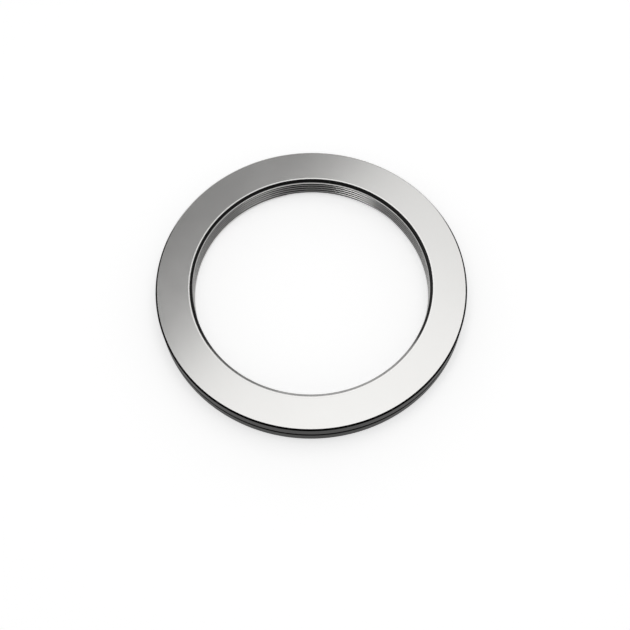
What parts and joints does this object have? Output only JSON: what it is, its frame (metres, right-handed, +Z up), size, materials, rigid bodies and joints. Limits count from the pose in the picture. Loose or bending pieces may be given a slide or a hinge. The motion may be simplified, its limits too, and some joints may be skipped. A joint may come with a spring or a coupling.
{
  "type": "thread ring gauge",
  "caption": "Flat steel ring with an internally threaded bore, chamfered mouths and a groove turned round its rim, for checking external threads.",
  "frame": {"origin": "centre of the bore on the lower face, which is the face it rests on", "axes": "+Z up along the bore's axis, towards the face that carries the marking; +Y towards the marking's place, +X to its right"},
  "size_m": [0.245, 0.245, 0.02],
  "materials": {
    "gauge_steel": "surface ground faces, dark oxide chamfers and rim"
  },
  "bodies": {
    "root": {"gauge_ring": "gauge_steel"}
  },
  "joints": []
}
